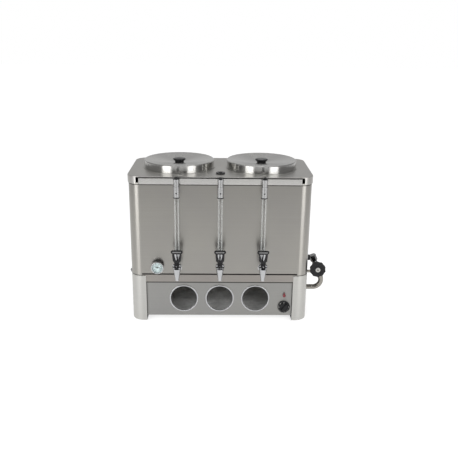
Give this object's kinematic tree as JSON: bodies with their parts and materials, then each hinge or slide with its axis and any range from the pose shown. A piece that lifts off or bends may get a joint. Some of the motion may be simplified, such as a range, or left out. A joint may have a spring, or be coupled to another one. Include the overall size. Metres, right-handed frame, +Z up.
{
  "type": "electric coffee urn",
  "caption": "Stainless steel electric coffee urn with pots under lift-off lids, lever taps with glass sight gauges, a dial thermometer, a thermostat and a side filling valve.",
  "frame": {"origin": "middle of the footprint, on the surface that the urn stands on", "axes": "+X to the right as seen from the taps, +Y to the rear, +Z up"},
  "size_m": [0.6472, 0.3556, 0.5174],
  "materials": {
    "body_steel": "brushed level",
    "bright_steel": "bright, finely brushed",
    "chrome": "polished plate",
    "black_plastic": "moulded, half gloss",
    "dark_paint": "matt",
    "dial_paint": "satin",
    "clear_glass": "clear",
    "rubber": "matt",
    "brass": "machined",
    "spring_steel": "drawn wire",
    "red_lens": "clear red",
    "dark_steel": "scaled, matt"
  },
  "bodies": {
    "urn": {"body_shell": "body_steel", "tank_floor": "body_steel", "top_cover": "body_steel", "base_frame": "body_steel", "front_panel": "body_steel", "rear_panel": "body_steel", "side_panels": "body_steel", "base_pan": "body_steel", "valve_stay": "body_steel", "gauge_rail": "bright_steel", "pot_left": "bright_steel", "pot_right": "bright_steel", "leg_front_left": "bright_steel", "leg_front_right": "bright_steel", "leg_rear_left": "bright_steel", "leg_rear_right": "bright_steel", "vent_rims": "chrome", "tap_bonnets": "chrome", "tap_pins": "chrome", "gauge_holders": "chrome", "gauge_gland_nuts": "chrome", "thermometer_case": "chrome", "valve_elbow": "chrome", "valve_body": "chrome", "valve_pipe": "chrome", "tap_body_left": "chrome", "tap_body_center": "chrome", "tap_body_right": "chrome", "gauge_plugs": "black_plastic", "cable_gland": "black_plastic", "thermostat_body": "black_plastic", "thermometer_dial": "dial_paint", "thermometer_lens": "clear_glass", "gauge_glass_left": "clear_glass", "gauge_glass_center": "clear_glass", "gauge_glass_right": "clear_glass", "foot_pads": "rubber", "valve_washer": "rubber", "tap_lock_nuts": "brass", "tap_spring_left": "spring_steel", "tap_spring_center": "spring_steel", "tap_spring_right": "spring_steel", "pilot_lamp": "red_lens", "heating_elements": "dark_steel"},
    "lid_left_body": {"lid_left": "bright_steel", "lid_knob_left": "black_plastic"},
    "lid_right_body": {"lid_right": "bright_steel", "lid_knob_right": "black_plastic"},
    "fill_cap_body": {"fill_cap": "black_plastic"},
    "lever_left": {"tap_lever_left": "black_plastic"},
    "plunger_left": {"tap_plunger_left": "rubber"},
    "lever_center": {"tap_lever_center": "black_plastic"},
    "plunger_center": {"tap_plunger_center": "rubber"},
    "lever_right": {"tap_lever_right": "black_plastic"},
    "plunger_right": {"tap_plunger_right": "rubber"},
    "thermostat_dial": {"thermostat_knob": "black_plastic"},
    "pointer": {"thermometer_pointer": "dark_paint"},
    "hand_wheel": {"valve_wheel": "black_plastic", "valve_stem": "bright_steel"},
    "piston": {"valve_piston": "brass"}
  },
  "joints": [
    {"name": "lid_left_lift", "type": "slide", "parent": "urn", "child": "lid_left_body", "axis": [0, 0, 1], "range_m": [0, 0.25]},
    {"name": "lid_right_lift", "type": "slide", "parent": "urn", "child": "lid_right_body", "axis": [0, 0, 1], "range_m": [0, 0.25]},
    {"name": "fill_cap_lift", "type": "slide", "parent": "urn", "child": "fill_cap_body", "axis": [0, 0, 1], "range_m": [0, 0.05]},
    {"name": "tap_left_lever", "type": "hinge", "parent": "urn", "child": "lever_left", "pos_m": [-0.136, -0.191, 0.214], "axis": [1, 0, 0], "range_deg": [0, 40], "stiffness_Nm_per_rad": 0.4},
    {"name": "tap_left_plunger", "type": "slide", "parent": "urn", "child": "plunger_left", "axis": [0, 0, 1], "range_m": [0, 0.0035], "deforming": ["tap_spring_left"]},
    {"name": "tap_center_lever", "type": "hinge", "parent": "urn", "child": "lever_center", "pos_m": [0, -0.191, 0.214], "axis": [1, 0, 0], "range_deg": [0, 40], "stiffness_Nm_per_rad": 0.4},
    {"name": "tap_center_plunger", "type": "slide", "parent": "urn", "child": "plunger_center", "axis": [0, 0, 1], "range_m": [0, 0.0035], "deforming": ["tap_spring_center"]},
    {"name": "tap_right_lever", "type": "hinge", "parent": "urn", "child": "lever_right", "pos_m": [0.136, -0.191, 0.214], "axis": [1, 0, 0], "range_deg": [0, 40], "stiffness_Nm_per_rad": 0.4},
    {"name": "tap_right_plunger", "type": "slide", "parent": "urn", "child": "plunger_right", "axis": [0, 0, 1], "range_m": [0, 0.0035], "deforming": ["tap_spring_right"]},
    {"name": "thermostat_turn", "type": "hinge", "parent": "urn", "child": "thermostat_dial", "pos_m": [0.214, -0.1358, 0.047], "axis": [0, 1, 0], "range_deg": [0, 270]},
    {"name": "thermometer_needle", "type": "hinge", "parent": "urn", "child": "pointer", "pos_m": [-0.201, -0.16, 0.194], "axis": [0, 1, 0], "range_deg": [-240, 28]},
    {"name": "valve_turn", "type": "hinge", "parent": "urn", "child": "hand_wheel", "pos_m": [0.326, -0.06, 0.168], "axis": [0, -1, 0], "range_deg": [0, 1080]},
    {"name": "valve_piston_slide", "type": "slide", "parent": "urn", "child": "piston", "axis": [0, -1, 0], "range_m": [0, 0.012]}
  ],
  "couplings": [
    {"joint": "tap_left_plunger", "follows": "tap_left_lever", "m_per_rad": 0.0050134},
    {"joint": "tap_center_plunger", "follows": "tap_center_lever", "m_per_rad": 0.0050134},
    {"joint": "tap_right_plunger", "follows": "tap_right_lever", "m_per_rad": 0.0050134},
    {"joint": "valve_piston_slide", "follows": "valve_turn", "m_per_rad": 0.00063662}
  ]
}
